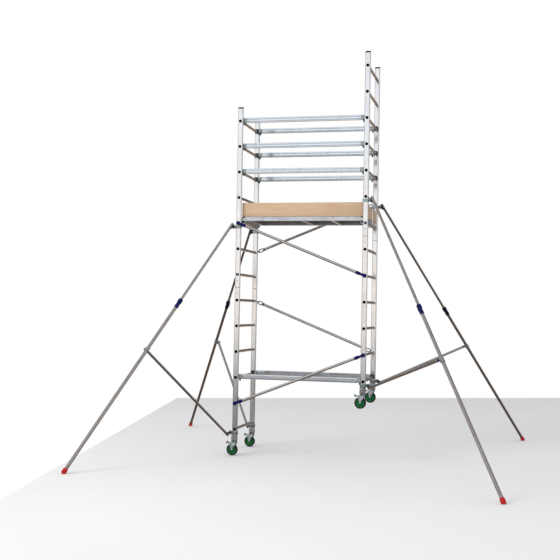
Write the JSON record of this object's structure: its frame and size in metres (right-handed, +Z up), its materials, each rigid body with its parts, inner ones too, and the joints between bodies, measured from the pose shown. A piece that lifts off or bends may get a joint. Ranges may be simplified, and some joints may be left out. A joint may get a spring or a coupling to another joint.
{
  "type": "mobile tower scaffold",
  "caption": "Narrow aluminium tower scaffold with a boarded platform, guard rails, diagonal braces, telescopic outriggers and lockable casters, stepped for split floor levels.",
  "frame": {"origin": "centre of the footprint of the four outrigger feet, on the lower floor", "axes": "+X along the bay from the low end frame to the high one, +Y from front to back, +Z up"},
  "size_m": [4.4054, 4.362, 4.36],
  "materials": {
    "stile_alloy": "satin anodised extrusion",
    "rung_alloy": "ribbed mill finish",
    "beam_alloy": "satin extrusion with rolled lines",
    "deck_alloy": "mill finish extrusion",
    "brace_alloy": "mill finish tube",
    "outrigger_alloy": "mill finish tube",
    "cast_alloy": "cast, lightly tumbled",
    "claw_alloy": "dark cast",
    "zinc_steel": "zinc plated",
    "blue_plastic": "moulded",
    "black_plastic": "moulded",
    "red_rubber": "moulded",
    "wheel_plastic": "moulded",
    "tyre_rubber": "satin",
    "lock_plastic": "moulded",
    "deck_ply": "dark phenolic faced plywood",
    "toe_timber": "varnished plywood"
  },
  "bodies": {
    "tower": {"lower_stiles": "stile_alloy", "upper_stiles": "stile_alloy", "rung_plugs": "black_plastic", "section_locks": "lock_plastic", "joint_spigots": "cast_alloy", "stile_caps": "black_plastic", "stile_clamps": "zinc_steel", "toe_clips": "blue_plastic", "rungs": "rung_alloy", "beams": "beam_alloy", "beam_claws": "claw_alloy", "brace_tubes": "brace_alloy", "front_brace_claws": "blue_plastic", "back_brace_claws": "cast_alloy", "deck_frame": "deck_alloy", "deck_board": "deck_ply", "toe_boards": "toe_timber", "caster_sockets": "zinc_steel"},
    "hatch": {"hatch_panel": "deck_ply"},
    "hatch_pull": {"hatch_handle": "zinc_steel"},
    "outrigger_fl": {"outrigger_tubes_fl": "outrigger_alloy", "outrigger_fittings_fl": "zinc_steel", "outrigger_knob_fl": "blue_plastic"},
    "leg_fl": {"leg_tube_fl": "outrigger_alloy", "leg_clamp_fl": "blue_plastic", "leg_foot_fl": "red_rubber"},
    "caster_fl": {"caster_fork_fl": "zinc_steel"},
    "wheel_fl": {"caster_hub_fl": "wheel_plastic", "caster_tyre_fl": "tyre_rubber"},
    "pedal_fl": {"caster_pedal_fl": "zinc_steel"},
    "outrigger_bl": {"outrigger_tubes_bl": "outrigger_alloy", "outrigger_fittings_bl": "zinc_steel", "outrigger_knob_bl": "blue_plastic"},
    "leg_bl": {"leg_tube_bl": "outrigger_alloy", "leg_clamp_bl": "blue_plastic", "leg_foot_bl": "red_rubber"},
    "caster_bl": {"caster_fork_bl": "zinc_steel"},
    "wheel_bl": {"caster_hub_bl": "wheel_plastic", "caster_tyre_bl": "tyre_rubber"},
    "pedal_bl": {"caster_pedal_bl": "zinc_steel"},
    "outrigger_fr": {"outrigger_tubes_fr": "outrigger_alloy", "outrigger_fittings_fr": "zinc_steel", "outrigger_knob_fr": "blue_plastic"},
    "leg_fr": {"leg_tube_fr": "outrigger_alloy", "leg_clamp_fr": "blue_plastic", "leg_foot_fr": "red_rubber"},
    "caster_fr": {"caster_fork_fr": "zinc_steel"},
    "wheel_fr": {"caster_hub_fr": "wheel_plastic", "caster_tyre_fr": "tyre_rubber"},
    "pedal_fr": {"caster_pedal_fr": "zinc_steel"},
    "outrigger_br": {"outrigger_tubes_br": "outrigger_alloy", "outrigger_fittings_br": "zinc_steel", "outrigger_knob_br": "blue_plastic"},
    "leg_br": {"leg_tube_br": "outrigger_alloy", "leg_clamp_br": "blue_plastic", "leg_foot_br": "red_rubber"},
    "caster_br": {"caster_fork_br": "zinc_steel"},
    "wheel_br": {"caster_hub_br": "wheel_plastic", "caster_tyre_br": "tyre_rubber"},
    "pedal_br": {"caster_pedal_br": "zinc_steel"}
  },
  "joints": [
    {"name": "hatch_hinge", "type": "hinge", "parent": "tower", "child": "hatch", "pos_m": [-0.19985, 0.04295, 2.604], "axis": [0, 1, 0], "range_deg": [0, 95]},
    {"name": "hatch_pull_hinge", "type": "hinge", "parent": "hatch", "child": "hatch_pull", "pos_m": [-0.71985, 0.04295, 2.596], "axis": [0, -1, 0], "range_deg": [0, 90]},
    {"name": "outrigger_swing_fl", "type": "hinge", "parent": "tower", "child": "outrigger_fl", "pos_m": [-0.93085, -0.31705, 0.245], "axis": [0, 0, 1], "range_deg": [-50, 32]},
    {"name": "leg_slide_fl", "type": "slide", "parent": "outrigger_fl", "child": "leg_fl", "axis": [0.3509, 0.5202, 0.7787], "range_m": [0, 0.9]},
    {"name": "caster_swivel_fl", "type": "hinge", "parent": "tower", "child": "caster_fl", "pos_m": [-0.87785, -0.31705, 0.145], "axis": [0, 0, 1], "continuous": true},
    {"name": "wheel_spin_fl", "type": "hinge", "parent": "caster_fl", "child": "wheel_fl", "pos_m": [-0.90485, -0.31705, 0.0625], "axis": [0, 1, 0], "continuous": true},
    {"name": "brake_fl", "type": "hinge", "parent": "caster_fl", "child": "pedal_fl", "pos_m": [-0.91585, -0.31705, 0.1335], "axis": [0, -1, 0], "range_deg": [0, 12]},
    {"name": "outrigger_swing_bl", "type": "hinge", "parent": "tower", "child": "outrigger_bl", "pos_m": [-0.93085, 0.40295, 0.245], "axis": [0, 0, 1], "range_deg": [-34, 46]},
    {"name": "leg_slide_bl", "type": "slide", "parent": "outrigger_bl", "child": "leg_bl", "axis": [0.382, -0.4978, 0.7787], "range_m": [0, 0.9]},
    {"name": "caster_swivel_bl", "type": "hinge", "parent": "tower", "child": "caster_bl", "pos_m": [-0.87785, 0.40295, 0.145], "axis": [0, 0, 1], "continuous": true},
    {"name": "wheel_spin_bl", "type": "hinge", "parent": "caster_bl", "child": "wheel_bl", "pos_m": [-0.90485, 0.40295, 0.0625], "axis": [0, 1, 0], "continuous": true},
    {"name": "brake_bl", "type": "hinge", "parent": "caster_bl", "child": "pedal_bl", "pos_m": [-0.91585, 0.40295, 0.1335], "axis": [0, -1, 0], "range_deg": [0, 12]},
    {"name": "outrigger_swing_fr", "type": "hinge", "parent": "tower", "child": "outrigger_fr", "pos_m": [0.57115, -0.31705, 0.805], "axis": [0, 0, 1], "range_deg": [-34, 46]},
    {"name": "leg_slide_fr", "type": "slide", "parent": "outrigger_fr", "child": "leg_fr", "axis": [-0.3925, 0.5024, 0.7704], "range_m": [0, 0.9]},
    {"name": "caster_swivel_fr", "type": "hinge", "parent": "tower", "child": "caster_fr", "pos_m": [0.51815, -0.31705, 0.705], "axis": [0, 0, 1], "continuous": true},
    {"name": "wheel_spin_fr", "type": "hinge", "parent": "caster_fr", "child": "wheel_fr", "pos_m": [0.49115, -0.31705, 0.6225], "axis": [0, 1, 0], "continuous": true},
    {"name": "brake_fr", "type": "hinge", "parent": "caster_fr", "child": "pedal_fr", "pos_m": [0.48015, -0.31705, 0.6935], "axis": [0, -1, 0], "range_deg": [0, 12]},
    {"name": "outrigger_swing_br", "type": "hinge", "parent": "tower", "child": "outrigger_br", "pos_m": [0.57115, 0.40295, 0.805], "axis": [0, 0, 1], "range_deg": [-42, 38]},
    {"name": "leg_slide_br", "type": "slide", "parent": "outrigger_br", "child": "leg_br", "axis": [-0.4355, -0.4753, 0.7644], "range_m": [0, 0.9]},
    {"name": "caster_swivel_br", "type": "hinge", "parent": "tower", "child": "caster_br", "pos_m": [0.51815, 0.40295, 0.705], "axis": [0, 0, 1], "continuous": true},
    {"name": "wheel_spin_br", "type": "hinge", "parent": "caster_br", "child": "wheel_br", "pos_m": [0.49115, 0.40295, 0.6225], "axis": [0, 1, 0], "continuous": true},
    {"name": "brake_br", "type": "hinge", "parent": "caster_br", "child": "pedal_br", "pos_m": [0.48015, 0.40295, 0.6935], "axis": [0, -1, 0], "range_deg": [0, 12]}
  ]
}
